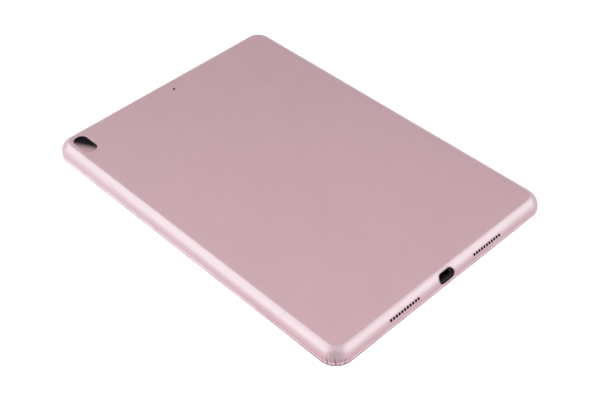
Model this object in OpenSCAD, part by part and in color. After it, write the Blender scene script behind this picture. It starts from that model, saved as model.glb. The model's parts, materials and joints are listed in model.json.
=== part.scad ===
// Tablet computer lying on its glass face, dressed in a leather-covered back case.
// +Z is the back, +Y the end with the rear camera, -Y the end with the charging port.
// The origin is under the middle of the case, on the surface that the rim stands on.

/* [Tablet] */
// Width of the tablet's body
tablet_w = 174; // [172:0.5:178]
// Length of the tablet's body
tablet_l = 250.2; // [248:0.2:256]
// Thickness of the tablet's body, glass face to back
tablet_t = 7.3; // [7.3:0.1:8]
// Corner radius of the body, seen from the back
tablet_r = 9.7; // [8:0.1:14]
// Width of the rounded shoulder between side and back
shoulder_w = 4.9; // [4:0.1:6]
// Height of the rounded shoulder
shoulder_h = 6.4; // [6:0.1:6.6]
// Thickness of the housing's side walls
housing_side = 1.1; // [1:0.1:1.3]
// Thickness of the housing's back
housing_back = 0.8; // [0.7:0.05:0.9]

/* [Case] */
// Room between the tablet's sides and the lining
side_gap = 0.2; // [0.15:0.05:0.4]
// Room between the tablet's back and the lining
back_gap = 0.1; // [0.1:0.05:0.3]
// Thickness of the lining
lining_t = 0.3; // [0.2:0.05:0.4]
// Thickness of the case shell's walls
shell_side = 0.9; // [0.8:0.1:1.5]
// Thickness of the case shell's back
shell_back = 0.7; // [0.6:0.1:1.2]
// Thickness of the leather
leather_t = 0.5; // [0.4:0.05:0.7]
// How far the rim stands past the glass
lip_h = 1.1; // [0.8:0.1:1.5]
// Height of the trim band at the rim
trim_h = 1.15; // [0.8:0.05:1.4]

/* [Openings] */
// Width of the camera opening
cam_open_w = 9.5; // [8.5:0.1:11]
// Length of the camera opening
cam_open_l = 18.9; // [17:0.1:21]
// Distance of the camera opening's centre from the middle, sideways
cam_x = -75.6; // [-76:0.1:-70]
// Distance of the camera opening's centre from the middle, lengthways
cam_y = 109.95; // [104:0.05:111]
// Width of the charging port's opening in the case
port_open_w = 12.1; // [11:0.1:14]
// Height of the charging port's opening in the case
port_open_h = 5.5; // [4.8:0.1:5.6]
// Height of the speaker holes and the port opening above the floor
edge_open_z = 6.15; // [5.9:0.05:6.3]
// Speaker holes in each row
speaker_holes = 11; // [5:1:13]
// Spacing of the speaker holes
speaker_pitch = 2.2; // [2:0.1:2.4]
// Diameter of the speaker holes in the case
speaker_d = 1.35; // [1:0.05:1.6]
// Distance of each speaker row's middle from the port
speaker_x = 34.7; // [30:0.1:40]
// Diameter of the microphone hole in the case
mic_d = 1.6; // [1:0.1:2.5]
// Distance of the microphone hole from the middle, lengthways
mic_y = 113.8; // [110:0.1:116]
// Diameter of the headphone opening in the case
jack_open_d = 6.6; // [6.2:0.1:7]

/* [Buttons] */
// Length of each button
button_l = 14; // [10:0.5:16]
// Height of each button
button_h = 2.6; // [2.2:0.1:2.8]
// How far a button travels
button_travel = 0.3; // [0.2:0.05:0.35]
// Place of the power button along the camera end
power_x = -52; // [-56:1:-40]
// Place of the volume buttons' middle along the right side
volume_y = 60; // [56:1:64]

/* [Hidden] */

eps = 0.01;
far = 20;
half_w = tablet_w / 2;
half_l = tablet_l / 2;

// How far each layer's outer face stands outside the tablet, at the sides and at the back
lining_in = [side_gap, back_gap];
shell_in = lining_in + [lining_t, lining_t];
leather_in = shell_in + [shell_side, shell_back];
outside = leather_in + [leather_t, leather_t];

// Heights above the floor, from the glass to the back
glass_t = 0.7;
seal_t = 0.2;
touch_t = 0.15;
lcd_t = 0.9;
backlight_t = 0.9;
mid_t = 0.3;
glass_z = lip_h + glass_t;
ledge_z = glass_z + seal_t;
ledge_t = 0.5;
lcd_z = glass_z + touch_t;
backlight_z = lcd_z + lcd_t;
mid_z = backlight_z + backlight_t;
bay_z = mid_z + mid_t;
back_z = lip_h + tablet_t;
ceiling_z = back_z - housing_back;

// Display stack, seen from the back
lcd_w = 160;
lcd_l = 214;
glass_in = 1.3;
seal_in = 1.6;
seal_w = 2.2;
ledge_w = 2.9;

// Battery, board and speakers
cell_w = 71;
cell_l = 160;
cell_t = 3;
cell_gap = 2;
cell_y = -98;
glue_t = 0.15;
board_w = 122;
board_l = 36;
board_t = 0.8;
board_y = 67;
board_z = 5.6;
speaker_w = 34;
speaker_l = 17;
speaker_h = 2.95;
speaker_y = -half_l + 4.1;
screw_d = 1.1;
thread_d = 1.2;
head_d = 2.2;
head_t = 0.4;
cross_slot = [1.2, 0.3, 0.4]; // length, width and twice the depth of the drive
board_holes = [for (x = [-57, 57], y = [70.5, 99.5]) [x, y], [-20, 99.5], [20, 99.5]];
frame_holes = [for (x = [-1, 1], y = [-96, -32, 32, 96]) [x * (half_w - 5), y]];
speaker_ears = [for (s = [-1, 1], e = [-1, 1]) [s * speaker_x + e * (speaker_w / 2 + 1.8), -107]];

// Charging port
usb_w = 8.94;
usb_h = 3.16;
usb_wall = 0.3;
usb_l = 7.3;
usb_z = 5.9;
usb_y = -half_l + 2.6;

// Headphone socket
jack_x = 70;
jack_z = 5;
jack_d = 3.6;
jack_depth = 13;
jack_y = half_l - 1.6;
jack_end = jack_y - 0.5;

// Buttons, measured inwards from the side of the tablet
button_z = 5;
button_gap = 0.1;
flange_y = 2.65;
flange_t = 0.5;
nub_l = 0.65;
switch_y = flange_y + flange_t + nub_l + button_travel + 0.05;
switch_t = 1.3;
bracket_t = 0.3;
volume_step = 9;
window_h = 5;

// Cross-section from the middle line out to the side, up the shoulder and back
function section(r, a, b, z0, z1, n) =
  let (zc = z1 - b, t0 = z0 > zc ? asin((z0 - zc) / b) : 0)
  concat([[0, z0]], z0 < zc ? [[r, z0]] : [],
    [for (i = [0:n]) let (t = t0 + (90 - t0) * i / n) [r - a + a * cos(t), zc + b * sin(t)]],
    [[0, z1]]);

// The tablet's outside grown by out = [sides, back], from height z0 upwards
module slab(out, z0, n = 12) {
  r = tablet_r + out[0];
  x = half_w + out[0] - r;
  y = half_l + out[0] - r;
  z1 = back_z + out[1];
  outline = section(r, shoulder_w + out[0], shoulder_h + out[1], z0, z1, n);
  for (sx = [0, 1], sy = [0, 1]) mirror([sx, 0, 0]) mirror([0, sy, 0])
    translate([x, y, 0]) rotate_extrude(angle = 90, $fn = 64) polygon(outline);
  for (sx = [0, 1]) mirror([sx, 0, 0])
    translate([x, y, 0]) rotate([90, 0, 0]) linear_extrude(2 * y) polygon(outline);
  for (sy = [0, 1]) mirror([0, sy, 0])
    translate([-x, y, 0]) rotate([90, 0, 90]) linear_extrude(2 * x) polygon(outline);
  translate([-x, -y, z0]) cube([2 * x, 2 * y, z1 - z0]);
}

// Rounded rectangle with its corner circles
module rounded(w, l, r) {
  square([w - 2 * r, l], center = true);
  square([w, l - 2 * r], center = true);
  for (sx = [-1, 1], sy = [-1, 1]) translate([sx * (w / 2 - r), sy * (l / 2 - r)]) circle(r, $fn = 48);
}

// The tablet's outline grown by out, as a plate from z0 to z1
module plate(out, z0, z1) {
  translate([0, 0, z0]) linear_extrude(z1 - z0)
    rounded(tablet_w + 2 * out, tablet_l + 2 * out, tablet_r + out);
}

// Plate with rounded corners, from z0 to z1
module tile(x, y, w, l, r, z0, z1) {
  translate([x, y, z0]) linear_extrude(z1 - z0) rounded(w, l, r);
}

module pill(l, w) {
  square([l - w, w], center = true);
  for (s = [-1, 1]) translate([s * (l - w) / 2, 0]) circle(w / 2, $fn = 48);
}

// Round hole or pill-shaped hole that runs along Y from y0 to y1
module round_y(x, z, d, y0, y1) {
  translate([x, y0, z]) rotate([-90, 0, 0]) cylinder(d = d, h = y1 - y0, $fn = 32);
}
module pill_y(x, z, l, w, y0, y1) {
  translate([x, y0, z]) rotate([-90, 0, 0]) linear_extrude(y1 - y0) pill(l, w);
}

// Pill that stands upright with its length along Y
module pill_up(x, y, l, w, z0, z1) {
  translate([x, y, z0]) linear_extrude(z1 - z0) rotate(90) pill(l, w);
}

// Frames at the buttons: children are drawn with +Y pointing out of the side
module at_power() { translate([power_x, half_l, button_z]) children(); }
module at_volume(y = volume_y) { translate([half_w, y, button_z]) rotate(-90) children(); }

module speaker_rows(d, y0, y1) {
  for (s = [-1, 1], i = [0:speaker_holes - 1])
    round_y(s * speaker_x + (i - (speaker_holes - 1) / 2) * speaker_pitch, edge_open_z, d, y0, y1);
}

// Everything that is cut through all three layers of the case
module case_openings(cam_margin) {
  pill_up(cam_x, cam_y, cam_open_l + 2 * cam_margin, cam_open_w + 2 * cam_margin, ceiling_z, far);
  translate([0, mic_y, ceiling_z]) cylinder(d = mic_d, h = far, $fn = 32);
  pill_y(0, edge_open_z, port_open_w, port_open_h, -half_l - far, -half_l + 4);
  speaker_rows(speaker_d, -half_l - far, -half_l + 4);
  round_y(jack_x, jack_z, jack_open_d, jack_end + 0.1, half_l + far);
  at_power() pill_y(0, 0, button_l + 5, window_h, -4, far);
  at_volume() pill_y(0, 0, button_l + 2 * volume_step + 5, window_h, -4, far);
}

surround_t = 0.4;

module leather_cover() {
  color("#c9a6ad") difference() {
    slab(outside, trim_h + 0.1);
    slab(leather_in, 0);
    case_openings(0);
  }
}

module case_shell() {
  color("#2b2a2c") difference() {
    slab(leather_in, 0);
    slab(shell_in, -1);
    case_openings(surround_t);
  }
}

module case_lining() {
  color("#3a393c") difference() {
    slab(shell_in, lip_h);
    slab(lining_in, -1);
    case_openings(surround_t);
  }
}

// Band round the rim, below the edge of the leather
module rim_trim() {
  color("#b29aa1") difference() {
    plate(outside[0] - 0.12, 0, trim_h);
    plate(leather_in[0] + 0.02, -1, far);
  }
}

// Liner of the camera opening, under the turned edge of the leather
module camera_surround() {
  color("#2b2729") difference() {
    pill_up(cam_x, cam_y, cam_open_l + 2 * surround_t, cam_open_w + 2 * surround_t,
      back_z + lining_in[1], back_z + leather_in[1]);
    pill_up(cam_x, cam_y, cam_open_l, cam_open_w, 0, far);
  }
}

// Threaded post under the back of the housing
module post(p, d, z0) {
  difference() {
    translate([p[0], p[1], z0]) cylinder(d = d, h = ceiling_z - z0 + eps, $fn = 32);
    translate([p[0], p[1], z0 - 1]) cylinder(d = thread_d, h = ceiling_z - z0 + 0.9, $fn = 24);
  }
}

module rear_housing() {
  color("#3a3b3d") difference() {
    union() {
      difference() {
        slab([0, 0], lip_h);
        slab([-housing_side, -housing_back], ledge_z + ledge_t);
        plate(-glass_in + 0.1, 0, ledge_z);
        plate(-glass_in - ledge_w, ledge_z - eps, ledge_z + ledge_t + eps);
      }
      for (p = frame_holes) post(p, 2.8, bay_z);
      for (p = board_holes) post(p, 3.4, board_z + board_t);
      for (p = speaker_ears) post(p, 2.8, speaker_ear_z);
      for (p = bracket_holes) post(p, 2.8, bracket_foot_z + bracket_t);
    }
    pill_up(cam_x, cam_y, trim_l + 0.1, trim_w + 0.1, 0, far);
    translate([0, mic_y, 0]) cylinder(d = 1, h = far, $fn = 24);
    pill_y(0, usb_z, usb_w + 0.1, usb_h + 0.1, -half_l - 1, -half_l + 6);
    speaker_rows(1.1, -half_l - 1, -half_l + 3.4);
    round_y(jack_x, jack_z, 5, jack_end + 0.1, half_l + 1);
    translate([jack_x - 2.55, jack_end - 1.9, jack_z - 2.45]) cube([5.1, 2.2, 5]);
    at_power() button_slot();
    for (s = [-1, 1]) at_volume(volume_y + s * volume_step) button_slot();
  }
}

module cover_glass() {
  color("#15171a") plate(-glass_in, lip_h, glass_z);
}

module display_adhesive() {
  color("#222222") difference() {
    plate(-seal_in, glass_z, ledge_z);
    plate(-seal_in - seal_w, 0, far);
  }
}

module touch_sensor() {
  color("#33404a") tile(0, 0, lcd_w - 1, lcd_l - 1, 1, glass_z, lcd_z);
}

module lcd_panel() {
  color("#1d2a38") tile(0, 0, lcd_w, lcd_l, 1, lcd_z, backlight_z);
}

module backlight_unit() {
  color("#d8dadd") difference() {
    tile(0, 0, lcd_w, lcd_l, 1, backlight_z, mid_z);
    for (s = [-1, 1]) tile(s * 30, lcd_l / 2, 26, 3, 0.5, 0, far);
  }
}

// Stiffening plate between the display and the electronics
module mid_frame() {
  color("#a9adb2") difference() {
    union() {
      tile(0, 0, lcd_w + 1, lcd_l + 1, 2, mid_z, bay_z);
      for (p = frame_holes) tile(p[0] - sign(p[0]) * 1.5, p[1], 6.4, 6, 1, mid_z, bay_z);
    }
    for (s = [-1, 1]) tile(s * 30, lcd_l / 2, 26, 6, 1, 0, far);
    for (s = [-1, 1]) tile(s * 36, 85, 50, 24, 3, 0, far);
    for (s = [-1, 1], y = [-60, -18, 24]) tile(s * 36.5, y, 52, 34, 4, 0, far);
    for (p = frame_holes) translate([p[0], p[1], 0]) cylinder(d = screw_d + 0.3, h = far, $fn = 24);
  }
}

// Flat-headed screw that is driven upwards, with the underside of its head at z
module screw(p, z, l) {
  translate([p[0], p[1], z - head_t]) difference() {
    union() {
      cylinder(d = head_d, h = head_t, $fn = 32);
      cylinder(d = screw_d, h = head_t + l, $fn = 24);
    }
    for (a = [0, 90]) rotate(a) cube(cross_slot, center = true);
  }
}

module frame_screws() { color("#c9ccd0") for (p = frame_holes) screw(p, mid_z, 3); }

// Pouch cell with a thinner sealed lip at its camera end
module cell(side) {
  x = side * (cell_w + cell_gap) / 2;
  z = ceiling_z - glue_t - cell_t;
  color("#4a4d52") {
    tile(x, cell_y + cell_l / 2, cell_w, cell_l, 2, z, z + cell_t);
    tile(x, cell_y + cell_l + 1, cell_w - 8, 2.1, 0.5, z + 1.2, z + 1.6);
  }
}
module battery_cell_left() { cell(-1); }
module battery_cell_right() { cell(1); }

module battery_adhesive() {
  color("#efe9d8") for (s = [-1, 1], e = [-1, 1])
    tile(s * (cell_w + cell_gap) / 2 + e * 24, cell_y + cell_l / 2, 14, cell_l - 14, 2,
      ceiling_z - glue_t, ceiling_z);
}

battery_board_z = 6;
module battery_board() {
  color("#1f5a3c") tile(0, cell_y + cell_l + 3.3, 60, 2.4, 0.4, battery_board_z, battery_board_z + 0.8);
}

module battery_flex() {
  z = board_z - 0.6;
  color("#c98a2b") {
    translate([-9, cell_y + cell_l + 2.4, z]) cube([18, board_y + 5 - (cell_y + cell_l + 2.4), 0.2]);
    translate([-9, cell_y + cell_l + 2.4, z]) cube([18, 1.6, battery_board_z - z]);
  }
}

module logic_board() {
  color("#17324a") difference() {
    tile(0, board_y + board_l / 2, board_w, board_l, 1.5, board_z, board_z + board_t);
    for (p = board_holes) translate([p[0], p[1], 0]) cylinder(d = screw_d + 0.3, h = far, $fn = 24);
    tile(-30, board_y, 24, 8, 1.5, 0, far);
  }
}

// Chips as [x, y, width, length] on the board's back side
chips = [[-4, 86, 13, 13], [-20, 90, 10, 12], [8, 92, 8, 9], [-38, 90, 9, 9], [34, 88, 11, 8],
  [46, 92, 6, 6], [24, 91, 4, 4], [-50, 84, 5, 6]];
chip_t = 0.7;
chip_z = board_z + board_t;
module board_chips() {
  color("#1a1a1c") for (c = chips) translate([c[0] - c[2] / 2, c[1] - c[3] / 2, chip_z])
    cube([c[2], c[3], chip_t]);
}

// Shield lids as [x, y, width, length]
cans = [[-7, 87.5, 42, 19], [-43, 87, 23, 17], [36, 89, 34, 15]];
can_t = 0.12;
can_h = 0.95;
module shield_cans() {
  color("#bfc3c7") for (c = cans) translate([c[0], c[1], chip_z]) difference() {
    linear_extrude(can_h) rounded(c[2], c[3], 0.6);
    translate([0, 0, -1]) linear_extrude(1 + can_h - can_t) rounded(c[2] - 2 * can_t, c[3] - 2 * can_t, 0.5);
  }
}

module thermal_pads() {
  color("#7f8c99") for (c = cans) tile(c[0], c[1], c[2] - 6, c[3] - 4, 0.8, chip_z + can_h, ceiling_z);
}

// Sockets on the board's display side, as [x, y, width, length]
sockets = [[-30, 93, 16, 3], [30, 93, 12, 3], [0, 76.5, 9, 2.6], [-57, 80, 2.6, 2.6],
  [57, 80, 2.6, 2.6], [-50, 96, 6, 2.4], [50, 96, 6, 2.4]];
socket_t = 0.6;
module board_connectors() {
  color("#d9d2bf") for (c = sockets)
    translate([c[0] - c[2] / 2, c[1] - c[3] / 2, board_z - socket_t]) cube([c[2], c[3], socket_t]);
}

module board_screws() { color("#c9ccd0") for (p = board_holes) screw(p, board_z, 1.7); }

// Rear camera, lens towards the back
lens_y = cam_y + 4.2;
flash_y = cam_y - 5.2;
module rear_camera_module() {
  color("#242526") {
    tile(cam_x, lens_y, 8.4, 8.4, 0.6, 3.6, 6.9);
    difference() {
      translate([cam_x, lens_y, 6.9 - eps]) cylinder(d = 6.6, h = 0.9, $fn = 48);
      translate([cam_x, lens_y, 7.2]) cylinder(d = 5, h = 2, $fn = 48);
    }
  }
}

module rear_camera_lens() {
  color("#28304a") intersection() {
    translate([cam_x, lens_y, 7.2]) cylinder(d = 4.8, h = 0.75, $fn = 48);
    translate([cam_x, lens_y, 7.95 - 8]) sphere(r = 8, $fn = 96);
  }
}

trim_w = 8.9;
trim_l = 18.3;
trim_wall = 0.45;
trim_top = back_z + 0.35;
module camera_trim() {
  color("#3c3d40") difference() {
    pill_up(cam_x, cam_y, trim_l, trim_w, ceiling_z, trim_top);
    pill_up(cam_x, cam_y, trim_l - 2 * trim_wall, trim_w - 2 * trim_wall, back_z - 0.3, far);
    pill_up(cam_x, cam_y, trim_l - 4 * trim_wall, trim_w - 4 * trim_wall, 0, far);
  }
}

module camera_window() {
  color("#0b0b0d") pill_up(cam_x, cam_y, trim_l - 2 * trim_wall - 0.06, trim_w - 2 * trim_wall - 0.06,
    back_z - 0.3, trim_top - 0.1);
}

module flash_led() {
  color("#f1e9c8") tile(cam_x, flash_y, 2.8, 2.8, 0.5, 7.1, 8);
}

module front_camera_module() {
  color("#202124") {
    tile(0, 114.6, 7.6, 7.6, 0.6, glass_z + 0.9, 5.2);
    translate([0, 114.6, glass_z + 0.1]) cylinder(d = 3.8, h = 0.9, $fn = 48);
  }
}

module light_sensor() { color("#55402c") tile(12, 114.6, 3, 2.2, 0.3, glass_z + 0.1, glass_z + 1); }

module rear_microphone() {
  color("#c6b27a") difference() {
    tile(0, mic_y, 3.8, 3, 0.3, 6.5, ceiling_z - 0.15);
    translate([0, mic_y, 6.9]) cylinder(d = 0.8, h = 2, $fn = 24);
  }
}

module microphone_mesh() {
  color("#262626") translate([0, mic_y, ceiling_z - 0.15]) cylinder(d = 2.4, h = 0.15, $fn = 32);
}

// Sealed speaker box with screw ears and a round driver window on the display side
speaker_ear_z = 6.2;
module speaker(side) {
  x = side * speaker_x;
  z1 = ceiling_z - 0.15;
  color("#2c2c2e") difference() {
    union() {
      tile(x, speaker_y + speaker_l / 2, speaker_w, speaker_l, 1.5, z1 - speaker_h, z1);
      for (e = [-1, 1])
        tile(x + e * (speaker_w / 2 + 1.4), -107, 5, 3.8, 1.8, speaker_ear_z - 0.8, speaker_ear_z);
    }
    tile(x, speaker_y + speaker_l / 2, 22, 12, 4, 0, z1 - speaker_h + 0.6);
    for (e = [-1, 1]) translate([x + e * (speaker_w / 2 + 1.8), -107, 0])
      cylinder(d = screw_d + 0.3, h = far, $fn = 24);
  }
}
module speaker_left() { speaker(-1); }
module speaker_right() { speaker(1); }

module speaker_meshes() {
  color("#151515") for (s = [-1, 1])
    translate([s * speaker_x - 13, speaker_y - 0.6, edge_open_z - 1]) cube([26, 0.5, 1.9]);
}

module speaker_screws() { color("#c9ccd0") for (p = speaker_ears) screw(p, speaker_ear_z - 0.8, 1.9); }

module usb_shell() {
  color("#b9bcc0") difference() {
    pill_y(0, usb_z, usb_w, usb_h, usb_y, usb_y + usb_l);
    pill_y(0, usb_z, usb_w - 2 * usb_wall, usb_h - 2 * usb_wall, usb_y - 1, usb_y + usb_l + 1);
  }
}

module usb_tongue() {
  color("#17181a") {
    pill_y(0, usb_z, usb_w - 2 * usb_wall - 0.04, usb_h - 2 * usb_wall - 0.04,
      usb_y + usb_l - 1.6, usb_y + usb_l);
    translate([-3.34, usb_y + 0.9, usb_z - 0.35]) cube([6.68, usb_l - 1.6 - 0.9 + eps, 0.7]);
  }
}

port_board_z = usb_z - usb_h / 2 - 0.02;
port_board_end = -109.2;
module port_board() {
  color("#17324a") translate([-15, usb_y + 0.9, port_board_z - 0.7])
    cube([30, port_board_end - (usb_y + 0.9), 0.7]);
}

// Ribbon from the port board, under the display plate, to the logic board
module port_flex() {
  z = bay_z + 0.08;
  color("#c98a2b") {
    translate([-4, port_board_end + 0.05, z]) cube([8, 76.5 - port_board_end, 0.14]);
    translate([-4, 76.4, z]) cube([8, 0.15, board_z - socket_t - z]);
  }
}

module headphone_socket() {
  color("#2b2b2d") difference() {
    translate([jack_x - 3, jack_y - jack_depth - 1.2, jack_z - 2.1]) cube([6, jack_depth - 0.7, 4.2]);
    round_y(jack_x, jack_z, jack_d, jack_y - jack_depth, half_l + far);
  }
}

// Bright ring at the socket's mouth
module headphone_collar() {
  color("#c2c5c9") difference() {
    round_y(jack_x, jack_z, 4.9, jack_end - 1.4, jack_end);
    round_y(jack_x, jack_z, jack_d, 0, half_l + far);
  }
}

module antenna(side) {
  color("#b5792c") tile(side * 69, -115, 22, 9, 1, antenna_z, antenna_z + antenna_t);
}
module antenna_left() { antenna(-1); }
module antenna_right() { antenna(1); }

// Flat antenna leads: up from the antenna, along the side of the battery and in to the board
lead_w = 0.9;
lead_t = 0.8;
lead_x = 76;
lead_z = 4.4;
lead_y = [-112, 80];
antenna_z = 2.6;
antenna_t = 0.5;
module antenna_cables() {
  z0 = antenna_z + antenna_t;
  x0 = board_w / 2 - 2.7;
  color("#202020") for (s = [0, 1]) mirror([s, 0, 0]) {
    translate([lead_x - lead_w / 2, lead_y[0], lead_z]) cube([lead_w, lead_y[1] - lead_y[0], lead_t]);
    translate([lead_x - lead_w / 2, lead_y[0], z0]) cube([lead_w, lead_w, lead_z + lead_t - z0]);
    translate([x0, lead_y[1] - lead_w, lead_z]) cube([lead_x + lead_w / 2 - x0, lead_w, lead_t]);
  }
}

// Ribbon that turns round the display's edge and up to a socket on the board
module turned_flex(x, w, z0, y_end) {
  t = 0.15;
  y = lcd_l / 2;
  z1 = board_z - socket_t - 0.02;
  translate([x - w / 2, 0, 0]) {
    translate([0, y + 0.1, z0]) cube([w, t, z1 - z0]);
    translate([0, y_end, z1 - t]) cube([w, y + 0.1 + t - y_end, t]);
  }
}
module display_flex() { color("#c98a2b") turned_flex(-30, 16, lcd_z + 0.2, 91.5); }
module touch_flex() { color("#b07a26") turned_flex(30, 12, glass_z + 0.02, 91.5); }

// Buttons: face flush with the side of the tablet, flange inside, nub on the switch
module button_shape() {
  pill_y(0, 0, button_l, button_h, -flange_y - eps, 0);
  translate([-button_l / 2 - 1, -flange_y - flange_t, -1.2]) cube([button_l + 2, flange_t, 2.4]);
  round_y(0, 0, 1.6, -flange_y - flange_t - nub_l, -flange_y - flange_t + eps);
}
module button_slot() {
  pill_y(0, 0, button_l + 2 * button_gap, button_h + 2 * button_gap, -4, 2);
}
module switch_shape() { translate([-2, -switch_y - switch_t, -1.3]) cube([4, switch_t, 2.6]); }

bracket_foot_z = 6.7;
bracket_y = switch_y + switch_t;
// Angle bracket behind the switches; l is its length
module bracket_shape(l) {
  z = bracket_foot_z - button_z;
  difference() {
    union() {
      translate([-l / 2, -bracket_y - bracket_t, -1.6]) cube([l, bracket_t, z + 1.6 + bracket_t]);
      translate([-l / 2, -bracket_y - 4, z]) cube([l, 4, bracket_t]);
    }
    for (s = [-1, 1]) translate([s * (l / 2 - 2), -bracket_y - 2, z - 1])
      cylinder(d = screw_d + 0.3, h = 3, $fn = 24);
  }
}
power_bracket_l = 20;
volume_bracket_l = 38;
bracket_holes = concat(
  [for (s = [-1, 1]) [power_x + s * (power_bracket_l / 2 - 2), half_l - bracket_y - 2]],
  [for (s = [-1, 1]) [half_w - bracket_y - 2, volume_y + s * (volume_bracket_l / 2 - 2)]]);

module power_switch() { color("#d6d6d6") at_power() switch_shape(); }
module volume_switches() {
  color("#d6d6d6") for (s = [-1, 1]) at_volume(volume_y + s * volume_step) switch_shape();
}
module power_bracket() { color("#9a9ea3") at_power() bracket_shape(power_bracket_l); }
module volume_bracket() { color("#9a9ea3") at_volume() bracket_shape(volume_bracket_l); }
module bracket_screws() { color("#c9ccd0") for (p = bracket_holes) screw(p, bracket_foot_z, 0.75); }

module power_button() { color("#303133") at_power() button_shape(); }
module volume_up_button() { color("#303133") at_volume(volume_y + volume_step) button_shape(); }
module volume_down_button() { color("#303133") at_volume(volume_y - volume_step) button_shape(); }

leather_cover();
case_shell();
case_lining();
rim_trim();
camera_surround();
rear_housing();
cover_glass();
display_adhesive();
touch_sensor();
lcd_panel();
backlight_unit();
mid_frame();
frame_screws();
battery_cell_left();
battery_cell_right();
battery_adhesive();
battery_board();
battery_flex();
logic_board();
board_chips();
shield_cans();
thermal_pads();
board_connectors();
board_screws();
rear_camera_module();
rear_camera_lens();
camera_window();
camera_trim();
flash_led();
front_camera_module();
light_sensor();
rear_microphone();
microphone_mesh();
speaker_left();
speaker_right();
speaker_meshes();
speaker_screws();
usb_shell();
usb_tongue();
port_board();
port_flex();
headphone_socket();
headphone_collar();
antenna_left();
antenna_right();
antenna_cables();
display_flex();
touch_flex();
power_switch();
volume_switches();
power_bracket();
volume_bracket();
bracket_screws();
power_button();
volume_up_button();
volume_down_button();
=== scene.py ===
"""A tablet computer lying on its glass face, dressed in a leather-covered back case."""

import json
from math import asin, atan2, cos, exp, hypot, pi, radians, sin, sqrt

import bpy
from mathutils import Matrix, Vector, noise
from mathutils.geometry import delaunay_2d_cdt


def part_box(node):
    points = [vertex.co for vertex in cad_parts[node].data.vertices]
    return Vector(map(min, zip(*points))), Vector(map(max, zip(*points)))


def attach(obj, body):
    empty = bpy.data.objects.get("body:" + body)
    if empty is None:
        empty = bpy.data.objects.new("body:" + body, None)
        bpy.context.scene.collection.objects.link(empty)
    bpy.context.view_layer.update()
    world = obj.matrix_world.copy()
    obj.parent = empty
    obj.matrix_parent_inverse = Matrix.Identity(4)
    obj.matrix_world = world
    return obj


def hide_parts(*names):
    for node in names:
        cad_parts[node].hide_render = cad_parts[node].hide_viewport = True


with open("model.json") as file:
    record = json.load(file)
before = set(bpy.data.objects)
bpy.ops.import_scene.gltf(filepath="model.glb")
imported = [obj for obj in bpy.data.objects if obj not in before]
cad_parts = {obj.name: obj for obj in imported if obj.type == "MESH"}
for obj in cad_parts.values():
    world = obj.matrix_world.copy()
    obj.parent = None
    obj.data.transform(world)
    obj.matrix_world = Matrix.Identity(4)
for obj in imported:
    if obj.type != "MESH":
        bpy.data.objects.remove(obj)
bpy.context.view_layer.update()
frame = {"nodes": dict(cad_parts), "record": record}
MM = 0.001  # shapes below are worked out in millimetres

# ---------------------------------------------------------------- the case's shape
low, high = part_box("leather_cover")
HALF_W = high.x / MM
HALF_L = high.y / MM
TOP_Z = high.z / MM
HEM_Z = low.z / MM          # lower edge of the leather
CORNER_R = 11.6             # corner radius, seen from the back
SHOULDER_W = 6.8            # the shoulder is a quarter of an ellipse
SHOULDER_H = 8.0
SHOULDER_Z = TOP_Z - SHOULDER_H
LEATHER_T = 0.5
FLAT_R = CORNER_R - SHOULDER_W
CORNER_X = HALF_W - CORNER_R
CORNER_Y = HALF_L - CORNER_R

# Openings through the leather: (side, middle across, middle up or along, length, width)
EDGE_Z = 6.15               # height of the port and the speakers
BUTTON_Z = 5.0              # height of the buttons and the headphone socket
HOLES = 11                  # in each speaker's row
HOLE_PITCH = 2.2
HOLE_D = 1.6
SPEAKER_X = 34.7
CAMERA = ("top", -75.6, 109.95, 18.9, 9.5)
MICROPHONE = ("top", 0, 113.8, 1.9, 1.9)
PORT = ("-y", 0, EDGE_Z, 12.1, 5.5)
HEADPHONES = ("+y", 70, BUTTON_Z, 6.6, 6.6)
POWER = ("+y", -52, BUTTON_Z, 19, 5)
VOLUME = ("+x", 60, BUTTON_Z, 37, 5)
SPEAKERS = [("-y", side * SPEAKER_X + (i - HOLES // 2) * HOLE_PITCH, EDGE_Z, HOLE_D, HOLE_D)
            for side in (-1, 1) for i in range(HOLES)]
SIDE, LENGTH = 0, 3         # where an opening's row holds these
OPENINGS = [CAMERA, MICROPHONE, PORT, HEADPHONES, POWER, VOLUME] + SPEAKERS


def arc_table(steps=400):
    """Arc length down the shoulder from the top, against the ellipse's angle."""
    table, length, last = [(0.0, pi / 2)], 0.0, (0.0, SHOULDER_H)
    for i in range(1, steps + 1):
        t = pi / 2 * (1 - i / steps)
        now = (SHOULDER_W * cos(t), SHOULDER_H * sin(t))
        length += hypot(now[0] - last[0], now[1] - last[1])
        table.append((length, t))
        last = now
    return table


ARC = arc_table()
ARC_PER_RADIAN = 1.1 * SHOULDER_W   # about how much of the arc one radian of its angle takes
SHOULDER_LEN = ARC[-1][0]
DOWN_LEN = SHOULDER_LEN + SHOULDER_Z - HEM_Z


def angle_at(q):
    """The ellipse's angle a length q down the shoulder."""
    if q >= SHOULDER_LEN:
        return 0.0
    lo, hi = 0, len(ARC) - 1
    while hi - lo > 1:
        mid = (lo + hi) // 2
        if ARC[mid][0] <= q:
            lo = mid
        else:
            hi = mid
    (q0, t0), (q1, t1) = ARC[lo], ARC[hi]
    return t0 + (t1 - t0) * (q - q0) / (q1 - q0)


def down_to(z):
    """How far down the shoulder the height z is."""
    if z <= SHOULDER_Z:
        return SHOULDER_LEN + SHOULDER_Z - z
    t = asin(min((z - SHOULDER_Z) / SHOULDER_H, 1.0))
    i = round((1 - t / (pi / 2)) * (len(ARC) - 1))
    length, nearest = ARC[i]
    return length + (nearest - t) * ARC_PER_RADIAN


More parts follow.
